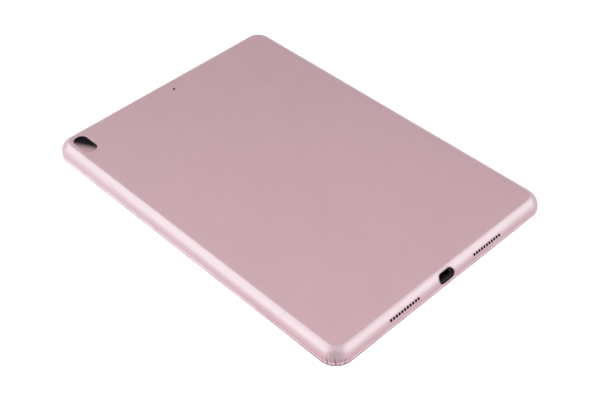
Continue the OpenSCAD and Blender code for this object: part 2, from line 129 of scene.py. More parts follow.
def on_cover(x, y):
    """Point, normal and length down the shoulder for a place on the cover laid out flat."""
    sx, sy = (1 if x >= 0 else -1), (1 if y >= 0 else -1)
    dx, dy = abs(x) - CORNER_X, abs(y) - CORNER_Y
    if dx > 0 and dy > 0:
        reach = hypot(dx, dy)
        nx, ny, q = dx / reach, dy / reach, reach - FLAT_R
        foot = (CORNER_X + nx * FLAT_R, CORNER_Y + ny * FLAT_R)
    elif dx > dy:
        nx, ny, q = 1.0, 0.0, dx - FLAT_R
        foot = (CORNER_X + FLAT_R, abs(y))
    else:
        nx, ny, q = 0.0, 1.0, dy - FLAT_R
        foot = (abs(x), CORNER_Y + FLAT_R)
    if q <= 0:
        return Vector((x, y, TOP_Z)), Vector((0, 0, 1)), 0.0
    t = angle_at(q)
    out = SHOULDER_W * cos(t)
    z = SHOULDER_Z + SHOULDER_H * sin(t) - max(q - SHOULDER_LEN, 0.0)
    place = Vector((sx * (foot[0] + nx * out), sy * (foot[1] + ny * out), z))
    outwards = cos(t) / SHOULDER_W
    slope = Vector((sx * nx * outwards, sy * ny * outwards, sin(t) / SHOULDER_H))
    return place, slope.normalized(), q


def laid_flat(side, across, up):
    """Where a point of an opening lies on the cover laid out flat."""
    if side == "top":
        return across, up
    reach = FLAT_R + down_to(up)
    if side == "+x":
        return CORNER_X + reach, across
    return across, (CORNER_Y + reach if side == "+y" else -CORNER_Y - reach)


def pill(opening, grow, steps):
    """Outline of an opening grown by a margin, as (across, up) points in its own plane."""
    side, across, up, length, width = opening
    r, run = width / 2 + grow, (length - width) / 2
    points = []
    for i in range(2 * steps):
        a = pi * i / steps
        end = run if i < steps else -run
        points.append((end + r * sin(a), r * cos(a)))
    if side == "top":
        return [(across + v, up + u) for u, v in points]
    return [(across + u, up + v) for u, v in points]


INWARDS = {"top": Vector((0, 0, -1)), "-y": Vector((0, 1, 0)), "+y": Vector((0, -1, 0)),
           "+x": Vector((-1, 0, 0))}
SMALL = 2.0                 # an opening shorter than this is a cut hole
ROLL = 0.3                  # radius of the leather's turned edge at an opening
SMALL_ROLL = 0.06           # the same at a cut hole
ROLL_STEPS = 4
GUARDS = (0.35, 0.8, 1.4)   # rings of points round an opening
OTHER_GAP = 0.8 * GUARDS[0]   # from those points to any other opening
CLEAR = 0.4                 # between the last ring and the rest of the points
BIG = 8.0                   # from this length on, an opening's outline has the finest steps


def is_small(opening):
    """Whether an opening is a cut hole, as at the speakers and the microphone."""
    return opening[LENGTH] < SMALL


def roll_of(opening):
    """Radius of the turned edge of the leather at an opening."""
    return SMALL_ROLL if is_small(opening) else ROLL


def pill_gap(opening, x, y):
    """How far a flat-laid place is outside an opening."""
    side, across, up, length, width = opening
    run = (length - width) / 2
    if side == "top":
        u, v = y - up, x - across
    elif side == "+x":
        u, v = y - across, x - CORNER_X - FLAT_R - down_to(up)
    else:
        outward = y if side == "+y" else -y
        u, v = x - across, outward - CORNER_Y - FLAT_R - down_to(up)
    return hypot(max(abs(u) - run, 0.0), v) - width / 2


# ---------------------------------------------------------------- mesh making
def add_mesh(name, points, faces, smooth=True):
    """A mesh object from points in millimetres."""
    mesh = bpy.data.meshes.new(name)
    mesh.from_pydata([tuple(c * MM for c in p) for p in points], [], faces)
    mesh.validate()
    mesh.update()
    if smooth:
        mesh.shade_smooth()
    made = bpy.data.objects.new(name, mesh)
    bpy.context.scene.collection.objects.link(made)
    return made


SIDE_STEP = 1.5             # spacing of points along the sides, round the corners and on the back
CORNER_STEP = 0.42
FLAT_STEP = 2.4
TOP_CORNER_STEP = 1.0       # round the corners high on the shoulder, down to TOP_LEN
TOP_LEN = 5.0
CORNERS = ((1, 1), (-1, 1), (-1, -1), (1, -1))
ALONG = ((-1, 0), (0, -1), (1, 0), (0, 1))   # the way from each corner to the next


def ring_places(q):
    """Places round the cover a length q down its shoulder (or q inside its edge, when negative)."""
    r = FLAT_R + q
    straight = SIDE_STEP if q >= 0 else FLAT_STEP
    step = CORNER_STEP if q > TOP_LEN else TOP_CORNER_STEP
    places = []
    turns = max(int(pi / 2 * r / step), 6)
    corner = [(r * cos(pi / 2 * i / turns), r * sin(pi / 2 * i / turns)) for i in range(turns + 1)]
    nx, ny = int(2 * CORNER_X / straight), int(2 * CORNER_Y / straight)
    for sx, sy in CORNERS:
        places += [(sx * (CORNER_X + x), sy * (CORNER_Y + y)) for x, y in corner]
    for s in (-1, 1):
        places += [(CORNER_X * (2 * i / nx - 1), s * (CORNER_Y + r)) for i in range(1, nx)]
        places += [(s * (CORNER_X + r), CORNER_Y * (2 * i / ny - 1)) for i in range(1, ny)]
    return places


def edge_ring(q):
    """One closed ring of places at q, in order."""
    r = FLAT_R + q
    turns = int(pi / 2 * r / CORNER_STEP)
    ring = []
    for k, (sx, sy) in enumerate(CORNERS):
        for i in range(turns + 1):
            a = pi / 2 * (k + i / turns)
            ring.append((sx * CORNER_X + r * cos(a), sy * CORNER_Y + r * sin(a)))
        x, y = ring[-1]
        length = 2 * (CORNER_Y if k % 2 else CORNER_X)
        count = int(length / SIDE_STEP)
        dx, dy = ALONG[k]
        ring += [(x + dx * length * i / count, y + dy * length * i / count) for i in range(1, count)]
    return ring


# Pleats where the leather gathers round a corner: (corner, angle, height, depth)
PLEATS = [((-1, -1), 0.10, 4.2, 0.7), ((-1, -1), 0.24, 6.4, 1.0), ((-1, -1), 0.36, 3.6, 0.6),
          ((-1, -1), 0.50, 7.6, 1.0), ((-1, -1), 0.61, 4.6, 0.6), ((-1, -1), 0.76, 5.6, 0.9),
          ((-1, -1), 0.90, 4.0, 0.6), ((1, -1), 0.42, 5.6, 1.0), ((1, -1), 0.66, 3.6, 0.6),
          ((-1, 1), 0.35, 3.8, 0.6), ((-1, 1), 0.62, 4.2, 0.7),
          ((1, 1), 0.30, 3.8, 0.6), ((1, 1), 0.52, 5.4, 0.9), ((1, 1), 0.74, 3.8, 0.6)]
PLEAT_W = 0.6
PLEAT_DEPTH = 0.3
PLEAT_SHARPNESS = 2.5
PLEAT_TOP = 8.0             # no pleat reaches higher
PLEAT_LEAN = 0.01           # turned for each mm of height
GROOVE_Z = 3.3              # the groove above the hem
GROOVE_W = 0.5
GROOVE_DEPTH = 0.16
SHADE_TOP = 10.4           # painted shade at the corners fades out upwards, over the fade length below, to this height
SHADE_FADE = 2.8
FAR_SHADE = 0.3            # strength of the painted corner shade at the three other corners
SIDE_CREASE_Z = 7.0         # slanting creases lie below this height
WAVE_DEPTH = 0.030          # of the wide waves, and of the finer ripples over them
RIPPLE_DEPTH = 0.012
WAVE_SCALE = 0.035          # waves to the millimetre
RIPPLE_SCALE = 0.11
CREASE_SLANT = 0.5          # how the creases' pattern shifts for each mm of height
CREASE_RISE = 0.1           # and how it changes
CREASE_STRENGTH = 1.6       # against the ripples
FLAT_SHARE = 0.25           # how much of the waviness the back has


def pleat_depth(place):
    """How deep into a pleat a point of the cover is, from 0 to 1."""
    dx, dy = abs(place.x) - CORNER_X, abs(place.y) - CORNER_Y
    if dx <= 0 or dy <= 0 or place.z > PLEAT_TOP:
        return 0.0
    turn = asin(dy / hypot(dx, dy)) / (pi / 2)
    deepest = 0.0
    for (sx, sy), at, height, depth in PLEATS:
        if sx * place.x > 0 and sy * place.y > 0 and place.z < HEM_Z + height:
            lean = PLEAT_LEAN * (place.z - HEM_Z) * (1 if at > 0.5 else -1)
            gap = abs(turn - at - lean) * pi / 2 * CORNER_R
            fade = 1 - (place.z - HEM_Z) / height
            width = PLEAT_W * (0.5 + 0.5 * fade)
            deepest = max(deepest, depth * sqrt(fade) * exp(-(gap / width) ** 2 * PLEAT_SHARPNESS))
    return deepest


def groove(place):
    """The shallow groove pressed in above the hem."""
    return GROOVE_DEPTH * exp(-((place.z - GROOVE_Z) / GROOVE_W) ** 2)


def shade_at_corner(place):
    """Painted shade at a corner, from 0 to 1: most at the -X, -Y corner, fading out upwards."""
    dx, dy = abs(place.x) - CORNER_X, abs(place.y) - CORNER_Y
    if dx <= 0 or dy <= 0:
        return 0.0
    near = 1.0 if place.x < 0 and place.y < 0 else FAR_SHADE
    turn = atan2(dy, dx) / (pi / 2)
    low = min(max((SHADE_TOP - place.z) / SHADE_FADE, 0.0), 1.0)
    return near * low * max(sin(pi * turn), 0.0) ** 2


def relief(place):
    """How far the hand-wrapped leather lies below its smooth shape, in mm."""
    wide = noise.noise(place * WAVE_SCALE)
    fine = noise.noise(place * RIPPLE_SCALE + Vector((7, 3, 1)))
    if place.z < SIDE_CREASE_Z:
        along, slant = (place.x + place.y) * RIPPLE_SCALE, place.z * CREASE_SLANT
        strokes = noise.noise(Vector((along + slant, along - slant, place.z * CREASE_RISE)))
        fine += CREASE_STRENGTH * max(strokes, 0)
    share = 1.0 if place.z < TOP_Z - 1 else FLAT_SHARE
    waves = share * (WAVE_DEPTH * (wide + 1) + RIPPLE_DEPTH * (fine + 1))
    return waves + PLEAT_DEPTH * pleat_depth(place) + groove(place)


SHOULDER_ROWS = 20          # rows of points down the shoulder
LOW_ROWS = (0.825, 0.875, 0.925, 0.975)   # extra rows near its foot, as shares of its length
HEM_ROWS = (0.35, 0.7)      # rows between its foot and the hem
BACK_ROW = -1.2             # a row on the back, just inside the shoulder
BACK_EDGE = 2.0             # the other points on the back keep this far from the shoulder
HEM_GUARD = 0.15            # and the rings round openings keep this far from the hem
CUT_WALL_SHADE = 2.0              # value of the painted-shade attribute on the dark wall of an opening: painted shade, also the dark of a cut edge
HEM_STEPS = 4
HEM_BULGE = 0.35            # how far the hem bulges down, as a share of a half round
SAME_POINT = 1e-5


def round_steps(opening):
    """How many steps an opening's outline takes."""
    if is_small(opening):
        return 8
    return 14 if opening[LENGTH] < BIG else 20


def around(opening, grow):
    """Places of a ring round an opening, laid flat. grow is how far outside the opening it runs."""
    outline = pill(opening, grow, round_steps(opening))
    return [laid_flat(opening[SIDE], across, up) for across, up in outline]


def is_clear(x, y, gap_of, openings=OPENINGS):
    """Whether a place keeps its gap to every opening."""
    return all(pill_gap(o, x, y) > roll_of(o) + gap_of(o) for o in openings)


def guard_places():
    """Places in the rings that keep the mesh even round each opening."""
    kept = []
    for opening in OPENINGS:
        others = [o for o in OPENINGS if o is not opening]
        for guard in GUARDS[:1] if is_small(opening) else GUARDS:
            for x, y in around(opening, roll_of(opening) + guard):
                above_hem = on_cover(x, y)[2] < DOWN_LEN - HEM_GUARD
                if above_hem and is_clear(x, y, lambda o: OTHER_GAP, others):
                    kept.append((x, y))
    return kept


def shoulder_places():
    """Places in rows from just inside the shoulder down to the hem."""
    rows = [BACK_ROW, 0.0] + [SHOULDER_LEN * (i / SHOULDER_ROWS) for i in range(1, SHOULDER_ROWS + 1)]
    rows += [SHOULDER_LEN * share for share in LOW_ROWS]
    rows += [SHOULDER_LEN + (SHOULDER_Z - HEM_Z) * share for share in HEM_ROWS]
    return [place for q in rows for place in ring_places(q)]


def back_places():
    """Places on the flat of the back, each row shifted against the next."""
    reach = FLAT_R - BACK_EDGE
    nx, ny = int((CORNER_X + reach) / FLAT_STEP), int((CORNER_Y + reach) / FLAT_STEP)
    places = []
    for i in range(-nx, nx + 1):
        for j in range(-ny, ny + 1):
            x, y = (i + (0.25 if j % 2 else -0.25)) * FLAT_STEP, j * FLAT_STEP
            dx, dy = abs(x) - CORNER_X, abs(y) - CORNER_Y
            if not (dx > 0 and dy > 0 and hypot(dx, dy) > reach):
                places.append((x, y))
    return places


def leather_places():
    """Places for the cover's points, the loops round its openings and its outer edge."""
    loops, places = [], []
    for opening in OPENINGS:
        loop = around(opening, roll_of(opening))
        loops.append(range(len(places), len(places) + len(loop)))
        places += loop
    places += guard_places()
    rim = edge_ring(DOWN_LEN)
    edge = range(len(places), len(places) + len(rim))
    places += rim
    for x, y in shoulder_places() + back_places():
        if is_clear(x, y, lambda o: CLEAR + (GUARDS[0] if is_small(o) else GUARDS[-1])):
            places.append((x, y))
    return places, loops, edge


def sheet_faces(cells, owner, count):
    """Faces of both sides of the sheet, without the cells that would close an opening."""
    faces = []
    for cell in cells:
        if not owner[cell[0]] & owner[cell[1]] & owner[cell[2]]:
            faces.append(tuple(cell))
            faces.append(tuple(count + i for i in reversed(cell)))
    return faces


def strip(first, second):
    """Faces between two closed rings of the same length."""
    faces = []
    for i in range(len(first)):
        j = (i + 1) % len(first)
        faces.append((first[i], first[j], second[j], second[i]))
    return faces


def turn_in(opening, start, points, painted_shade, faces, count):
    """Rolls the sheet's edge in at an opening, and down to the sheet's inner side."""
    roll = roll_of(opening)
    inwards = INWARDS[opening[SIDE]]
    # the opening's wall gets painted shade, darker deeper in, none at the camera; also the dark of a cut
    # edge
    wall_shade = 0.0 if opening is CAMERA else CUT_WALL_SHADE
    ring = start
    for k in range(1, ROLL_STEPS + 1):
        a = pi / 2 * k / ROLL_STEPS
        following = []
        for x, y in around(opening, roll * (1 - sin(a))):
            following.append(len(points))
            points.append(on_cover(x, y)[0] + inwards * roll * (1 - cos(a)))
            painted_shade.append(wall_shade * (k / ROLL_STEPS) ** 3)
        faces += strip(ring, following)
        ring = following
    foot = range(len(points), len(points) + len(ring))
    points += [points[i] + inwards * (LEATHER_T - roll) for i in ring]
    painted_shade += [wall_shade] * len(ring)
    faces += strip(ring, foot)
    faces += strip(foot, [count + i for i in start])


def round_hem(rim, points, painted_shade, faces, count):
    """Closes the sheet's outer edge with a flattened half round."""
    ring = rim
    for k in range(1, HEM_STEPS):
        a = pi * k / HEM_STEPS
        following = []
        for i in rim:
            following.append(len(points))
            middle, half = (points[i] + points[count + i]) / 2, (points[i] - points[count + i]) / 2
            bulge = Vector((0, 0, -half.length * HEM_BULGE * sin(a)))
            points.append(middle + half * cos(a) + bulge)
            painted_shade.append(painted_shade[i])
        faces += strip(following, ring)
        ring = following
    faces += strip([count + i for i in rim], ring)


def store(made, name, values):
    """Keeps one number for each point, for the material to read."""
    made.data.attributes.new(name, "FLOAT", "POINT").data.foreach_set("value", values)


def make_leather():
    """The leather: one sheet wrapped round the back, turned in at every opening."""
    places, loops, edge = leather_places()
    lines = [(ring[i], ring[(i + 1) % len(ring)]) for ring in loops + [edge] for i in range(len(ring))]
    flat, _, cells, source, _, _ = delaunay_2d_cdt([Vector(p) for p in places], lines, [], 0, SAME_POINT)
    loop_of = {i: n for n, ring in enumerate(loops) for i in ring}
    owner = [{loop_of[i] for i in given if i in loop_of} for given in source]
    point_of = {i: k for k, given in enumerate(source) for i in given}
    outer, inner, painted_shade, corner_shade = [], [], [], []
    for p in flat:
        place, normal, _ = on_cover(p.x, p.y)
        outer.append(place - normal * relief(place))
        inner.append(place - normal * LEATHER_T)
        # painted shade in the pleats, and painted shade at the corners
        painted_shade.append(pleat_depth(place))
        corner_shade.append(shade_at_corner(place))
    count = len(outer)
    points = outer + inner
    painted_shade += painted_shade
    faces = sheet_faces(cells, owner, count)
    for opening, loop in zip(OPENINGS, loops):
        turn_in(opening, [point_of[i] for i in loop], points, painted_shade, faces, count)
    round_hem([point_of[i] for i in edge], points, painted_shade, faces, count)
    made = add_mesh("leather_wrap", points, faces)
    store(made, "painted_shade", painted_shade)
    store(made, "corner_shade", corner_shade + [0.0] * (len(points) - count))
    return made


def rounded_path(inset, corner_steps=28, run=4.0):
    """Closed path round the case, as (x, y, nx, ny)."""
    r = CORNER_R - inset
    path = []
    for k, (sx, sy) in enumerate(CORNERS):
        for i in range(corner_steps + 1):
            a = pi / 2 * (k + i / corner_steps)
            path.append((sx * CORNER_X + r * cos(a), sy * CORNER_Y + r * sin(a), cos(a), sin(a)))
        length = 2 * (CORNER_Y if k % 2 else CORNER_X)
        x, y, nx, ny = path[-1]
        dx, dy = ALONG[k]
        parts = int(length / run)
        path += [(x + dx * length * i / parts, y + dy * length * i / parts, nx, ny)
                 for i in range(1, parts)]
    return path


# The bead's section, as shares of its thickness and its height
BEAD = ((0.0, 0.0), (0.55, 0.02), (0.86, 0.14), (1.0, 0.34), (1.0, 0.60), (0.94, 0.80), (0.74, 0.95),
        (0.4, 1.0), (0.0, 1.0))
BEAD_GAP = 0.02             # between the bead and the shell


def make_rim():
    """Soft bead round the rim, under the hem of the leather."""
    _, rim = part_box("rim_trim")
    inner_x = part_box("case_shell")[1].x / MM + BEAD_GAP
    thick = rim.x / MM - inner_x
    path = rounded_path(HALF_W - inner_x)
    points, faces = [], []
    for x, y, nx, ny in path:
        out = thick * (0.9 + 0.1 * noise.noise(Vector((x, y, 0)) * 0.08))
        points += [Vector((x + nx * out * u, y + ny * out * u, rim.z / MM * v)) for u, v in BEAD]
    n, m = len(path), len(BEAD)
    for i in range(n):
        for j in range(m):
            a, b = i * m + j, i * m + (j + 1) % m
            c, d = ((i + 1) % n) * m + (j + 1) % m, ((i + 1) % n) * m + j
            faces.append((a, d, c, b))
    return add_mesh("rim_bead", points, faces)


# ---------------------------------------------------------------- materials
class Look:
    """A procedural material on one Principled shader. Sizes of patterns are in millimetres."""

    def __init__(self, name, **inputs):
        self.material = bpy.data.materials.new(name)
        self.material.use_nodes = True
        self.nodes = self.material.node_tree.nodes
        self.links = self.material.node_tree.links
        self.shader = self.nodes["Principled BSDF"]
        for key, value in inputs.items():
            self.shader.inputs[key.replace("_", " ")].default_value = value
        self.place = self.nodes.new("ShaderNodeTexCoord").outputs["Object"]
        self.height = None

    def put(self, socket, value):
        """Links or sets one input."""
        if isinstance(value, bpy.types.NodeSocket):
            self.links.new(value, socket)
        else:
            socket.default_value = value

    def stretched(self, scale):
        """The place, scaled along each axis."""
        node = self.nodes.new("ShaderNodeVectorMath")
        node.operation = "MULTIPLY"
        self.put(node.inputs[0], self.place)
        node.inputs[1].default_value = scale
        return node.outputs[0]

    def noise(self, size, detail=2.0, rough=0.5, stretch=None, warp=0.0):
        """Cloudy noise with features of one size."""
        node = self.nodes.new("ShaderNodeTexNoise")
        node.inputs["Scale"].default_value = 1 / (size * MM)
        node.inputs["Detail"].default_value = detail
        node.inputs["Roughness"].default_value = rough
        node.inputs["Distortion"].default_value = warp
        self.put(node.inputs["Vector"], self.stretched(stretch) if stretch else self.place)
        return node.outputs["Fac"]

    def cells(self, size, feature="F1", randomness=1.0, stretch=None, output="Distance"):
        """A pattern of cells of one size."""
        node = self.nodes.new("ShaderNodeTexVoronoi")
        node.feature = feature
        node.inputs["Scale"].default_value = 1 / (size * MM)
        node.inputs["Randomness"].default_value = randomness
        self.put(node.inputs["Vector"], self.stretched(stretch) if stretch else self.place)
        return node.outputs[output]

    def varied(self, size, low, high, detail=2.0):
        """A number that wanders between two values over the surface."""
        return self.span(self.noise(size, detail), 0.3, 0.7, low, high)

    def stored(self, name):
        """A number that the mesh keeps for each point."""
        node = self.nodes.new("ShaderNodeAttribute")
        node.attribute_name = name
        return node.outputs["Fac"]

    def axis(self, index):
        """One coordinate, in millimetres."""
        node = self.nodes.new("ShaderNodeSeparateXYZ")
        self.put(node.inputs[0], self.place)
        return self.math("MULTIPLY", node.outputs[index], 1 / MM)

    def math(self, kind, a, b=0.0, c=0.0, clamp=False):
        """One step of arithmetic."""
        node = self.nodes.new("ShaderNodeMath")
        node.operation = kind
        node.use_clamp = clamp
        for socket, value in zip(node.inputs, (a, b, c)):
            self.put(socket, value)
        return node.outputs[0]

    def span(self, value, start, end, low=0.0, high=1.0, smooth=True):
        """value taken from start..end to low..high."""
        node = self.nodes.new("ShaderNodeMapRange")
        node.interpolation_type = "SMOOTHSTEP" if smooth else "LINEAR"
        for key, number in (("Value", value), ("From Min", start), ("From Max", end),
                            ("To Min", low), ("To Max", high)):
            self.put(node.inputs[key], number)
        return node.outputs[0]

    def mix(self, amount, a, b, kind="MIX"):
        """Colour a taken towards colour b."""
        node = self.nodes.new("ShaderNodeMix")
        node.data_type = "RGBA"
        node.blend_type = kind
        self.put(node.inputs["Factor"], amount)
        for socket, value in ((node.inputs[6], a), (node.inputs[7], b)):
            self.put(socket, value if isinstance(value, bpy.types.NodeSocket) else (*value, 1.0))
        return node.outputs[2]

    def raise_by(self, height, amount):
        """Adds to the bump, amount in millimetres."""
        part = self.math("MULTIPLY", height, amount)
        self.height = part if self.height is None else self.math("ADD", self.height, part)

    def finish(self, color=None, rough=None):
        """Joins colour, roughness and bump to the shader."""
        if color is not None:
            self.put(self.shader.inputs["Base Color"], color)
        if rough is not None:
            self.put(self.shader.inputs["Roughness"], rough)
        if self.height is not None:
            bump = self.nodes.new("ShaderNodeBump")
            bump.inputs["Distance"].default_value = MM
            bump.inputs["Strength"].default_value = 1.0
            self.put(bump.inputs["Height"], self.height)
            self.put(self.shader.inputs["Normal"], bump.outputs["Normal"])
        return self.material


def leather_color(look, cut):
    """Mottled rose leather; painted highlight on the hem; painted shade at corners, groove, pleats, cuts."""
    height = look.axis(2)
    mottle = look.noise(22, 3, 0.6)
    color = look.mix(look.span(mottle, 0.3, 0.7), (0.555, 0.360, 0.400), (0.567, 0.369, 0.410))
    speck = look.span(look.noise(1.4, 3, 0.65), 0.4, 0.75, 0.0, 0.15)
    color = look.mix(speck, color, (0.60, 0.40, 0.44))
    # painted shade at the corners, greyer, broken up by noise
    uneven = look.span(look.noise(1.8, 3, 0.6), 0.25, 0.6, 0.6, 1.0)
    shade_patch = look.math("MULTIPLY", look.stored("corner_shade"), uneven)
    color = look.mix(look.span(shade_patch, 0.05, 0.9, 0.0, 0.78), color, (0.37, 0.245, 0.285))
    # painted highlight: a pale band along the hem, broken up by noise, weaker towards -Y
    hem_glint = look.span(look.noise(9, 2), 0.3, 0.6, 0.25, 0.9)
    hem = look.math("MULTIPLY", look.span(height, GROOVE_Z - 0.9, GROOVE_Z, 1, 0), hem_glint)
    hem = look.math("MULTIPLY", hem, look.span(look.axis(1), -100, 20, 0.45, 1.0))
    color = look.mix(hem, color, (0.78, 0.60, 0.66))
    above = look.span(height, GROOVE_Z + 0.3, GROOVE_Z + 1.3, 0.35, 0)
    shadow = look.math("MULTIPLY", look.span(height, GROOVE_Z - 0.2, GROOVE_Z + 0.1), above)
    color = look.mix(shadow, color, (0.42, 0.20, 0.24))
    # painted shade in the pleats
    pleat_shade = look.span(look.stored("painted_shade"), 0.12, 0.8, 0.0, 0.88)
    color = look.mix(pleat_shade, color, (0.05, 0.032, 0.036))
    # painted shade on the walls of the openings, also the dark of a cut edge
    return look.mix(cut, color, (0.008, 0.007, 0.007))


def leather_shine(look, cut):
    """Strength of the highlight: full high on the shoulder, less low down towards -Y, little on the back."""
    height = look.axis(2)
    handled = look.span(look.axis(1), -110, 70, 0.12, 0.9)
    shoulder = look.span(height, 4.0, 7.5, handled, 1.0)
    back = look.span(height, TOP_Z - 0.2, TOP_Z - 0.02, 1.0, 0.15)
    return look.math("MULTIPLY", look.math("MULTIPLY", shoulder, back), look.span(cut, 0, 1, 1, 0.05))


def rose_leather():
    """Grained leather with a cool highlight."""
    look = Look("rose_leather", Specular_Tint=(0.72, 1.0, 1.0, 1.0))
    # the walls of the openings, which carry painted shade
    cut = look.span(look.stored("painted_shade"), 0.9, 1.4)
    look.put(look.shader.inputs["Specular IOR Level"], leather_shine(look, cut))
    pebble = look.cells(1.15, "DISTANCE_TO_EDGE")
    crease = look.cells(9.0, "DISTANCE_TO_EDGE")
    look.raise_by(look.cells(0.55, "SMOOTH_F1"), 0.035)
    look.raise_by(look.span(pebble, 0.0, 0.12, -1, 0), 0.010)
    look.raise_by(look.noise(0.28, 2), 0.010)
    look.raise_by(look.span(crease, 0.0, 0.03, -1, 0), 0.006)
    look.raise_by(look.noise(5.0, 2), 0.02)
    return look.finish(leather_color(look, cut), look.varied(2.4, 0.31, 0.37, 3))


def rim_rubber():
    """Worn soft rubber in the leather's colour, with a painted shadow at the -X, -Y corner."""
    look = Look("trim_rubber", Specular_IOR_Level=0.5)
    height = look.axis(2)
    wander = look.math("MULTIPLY", look.noise(14, 2), 0.3)
    level = look.math("ADD", height, wander)
    wear_and_shadow = look.mix(look.span(look.noise(16, 2), 0.35, 0.65), (0.34, 0.19, 0.23), (0.62, 0.42, 0.48))
    # painted shadow at the -X, -Y corner
    rim_corner_shadow = disc_mask(look, -HALF_W, -HALF_L, 46, 26)
    wear_and_shadow = look.mix(rim_corner_shadow, wear_and_shadow, (0.12, 0.07, 0.085))
    color = look.mix(look.span(level, 0.75, 1.1), wear_and_shadow, (0.45, 0.28, 0.33))
    look.raise_by(look.noise(0.25, 2), 0.01)
    return look.finish(color, look.varied(1.2, 0.38, 0.52))


def toned(color, factor):
    """A colour made lighter or darker."""
    return tuple(min(c * factor, 1) for c in color)


def plastic(name, color, rough, grain=0.25, depth=0.008, tone=0.18, **inputs):
    """Moulded plastic with a spark-eroded grain and faint flow marks."""
    look = Look(name, **inputs)
    flow = look.noise(9, 2, stretch=(1, 0.4, 1))
    shade = look.mix(look.span(flow, 0.3, 0.7), toned(color, 1 - tone), toned(color, 1 + tone))
    look.raise_by(look.noise(grain, 2), depth)
    return look.finish(shade, look.varied(3.5, rough - 0.05, rough + 0.07))


def metal(name, color, rough, grain=0.12, depth=0.003, brush=None, tone=0.08, metallic=1.0):
    """Metal, bead-blasted or brushed along one direction."""
    look = Look(name, Metallic=metallic)
    marks = look.noise(grain, 3, 0.6, stretch=brush)
    cloud = look.noise(18, 3)
    shade = look.mix(look.span(cloud, 0.3, 0.7), toned(color, 1 - tone), toned(color, 1 + tone))
    look.raise_by(marks, depth)
    return look.finish(shade, look.varied(1.8, rough - 0.05, rough + 0.06))


def foil(name, color, rough):
    """Crinkled laminate foil."""
    look = Look(name, Metallic=0.75)
    wrinkle = look.cells(6, "DISTANCE_TO_EDGE")
    look.raise_by(look.noise(7, 3, 0.6, warp=0.6), 0.16)
    look.raise_by(look.span(wrinkle, 0, 0.2), 0.02)
    shade = look.mix(look.span(look.noise(3, 3), 0.3, 0.7), toned(color, 0.85), color)
    return look.finish(shade, look.varied(5, rough - 0.06, rough + 0.08))


def film(name, color, rough):
    """Thin film or tape with a faint ripple."""
    look = Look(name)
    look.raise_by(look.noise(4, 2), 0.03)
    look.raise_by(look.noise(0.5, 2), 0.003)
    shade = look.mix(look.span(look.noise(8, 3), 0.3, 0.7), toned(color, 0.88), toned(color, 1.1))
    return look.finish(shade, look.varied(2, rough - 0.04, rough + 0.06))


def circuit_board():
    """Solder mask over copper tracks, with tinned pads."""
    look = Look("circuit_board", Specular_IOR_Level=0.6)
    mask = (0.006, 0.022, 0.045)
    tracks = look.cells(1.1, "DISTANCE_TO_EDGE", 0.0, stretch=(1, 0.35, 1))
    line = look.span(tracks, 0.10, 0.16, 1.0, 0.0)
    dots = look.span(look.cells(2.3, "F1", 0.0), 0.16, 0.20, 1.0, 0.0)
    pad = look.math("MULTIPLY", dots, look.span(look.noise(6), 0.52, 0.56))
    shade = look.mix(look.math("MULTIPLY", line, 0.5), mask, toned(mask, 2.4))
    shade = look.mix(pad, shade, (0.55, 0.52, 0.46))
    look.raise_by(line, 0.02)
    look.raise_by(pad, 0.03)
    return look.finish(shade, look.span(pad, 0, 1, 0.33, 0.25))


def flex_circuit(name, color):
    """Polyimide ribbon with fine tracks along Y."""
    look = Look(name)
    wave = look.nodes.new("ShaderNodeTexWave")
    wave.wave_type = "BANDS"
    wave.bands_direction = "X"
    wave.inputs["Scale"].default_value = 1 / (2.2 * MM)
    look.put(wave.inputs["Vector"], look.place)
    line = look.span(wave.outputs["Fac"], 0.55, 0.75)
    shade = look.mix(line, color, toned(color, 0.55))
    look.raise_by(line, 0.01)
    look.raise_by(look.noise(5, 2), 0.04)
    return look.finish(shade, look.varied(2, 0.3, 0.42))


def microfibre():
    """Brushed dark cloth with a short nap."""
    look = Look("lining_cloth", Sheen_Weight=0.35, Sheen_Roughness=0.5)
    nap = look.noise(0.12, 3, 0.7)
    brush = look.noise(6, 3, stretch=(1, 0.5, 1))
    shade = look.mix(look.span(brush, 0.3, 0.7), (0.036, 0.034, 0.037), (0.062, 0.058, 0.062))
    look.raise_by(nap, 0.05)
    return look.finish(shade, 0.9)


def foam():
    """Black foam with open pores."""
    look = Look("seal_foam")
    pores = look.cells(0.3, "F1")
    look.raise_by(pores, 0.05)
    # painted shade in the pores
    shade = look.mix(look.span(pores, 0.1, 0.6), (0.012, 0.012, 0.013), (0.03, 0.03, 0.031))
    return look.finish(shade, 0.85)


def box_mask(look, half_x, half_y, mid_x=0.0, mid_y=0.0, soft=0.12):
    """1 inside a rectangle seen along Z, 0 outside it."""
    x = look.math("ABSOLUTE", look.math("SUBTRACT", look.axis(0), mid_x))
    y = look.math("ABSOLUTE", look.math("SUBTRACT", look.axis(1), mid_y))
    within_x = look.span(x, half_x - soft, half_x, 1, 0)
    return look.math("MULTIPLY", within_x, look.span(y, half_y - soft, half_y, 1, 0))


def disc_mask(look, x0, y0, radius, soft=0.1):
    """1 inside a circle seen along Z."""
    x = look.math("SUBTRACT", look.axis(0), x0)
    y = look.math("SUBTRACT", look.axis(1), y0)
    square = look.math("ADD", look.math("MULTIPLY", x, x), look.math("MULTIPLY", y, y))
    return look.span(look.math("SQRT", square), radius - soft, radius, 1, 0)


def middle(node):
    """Centre of a CAD node, in millimetres."""
    near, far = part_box(node)
    return (near + far) / 2 / MM


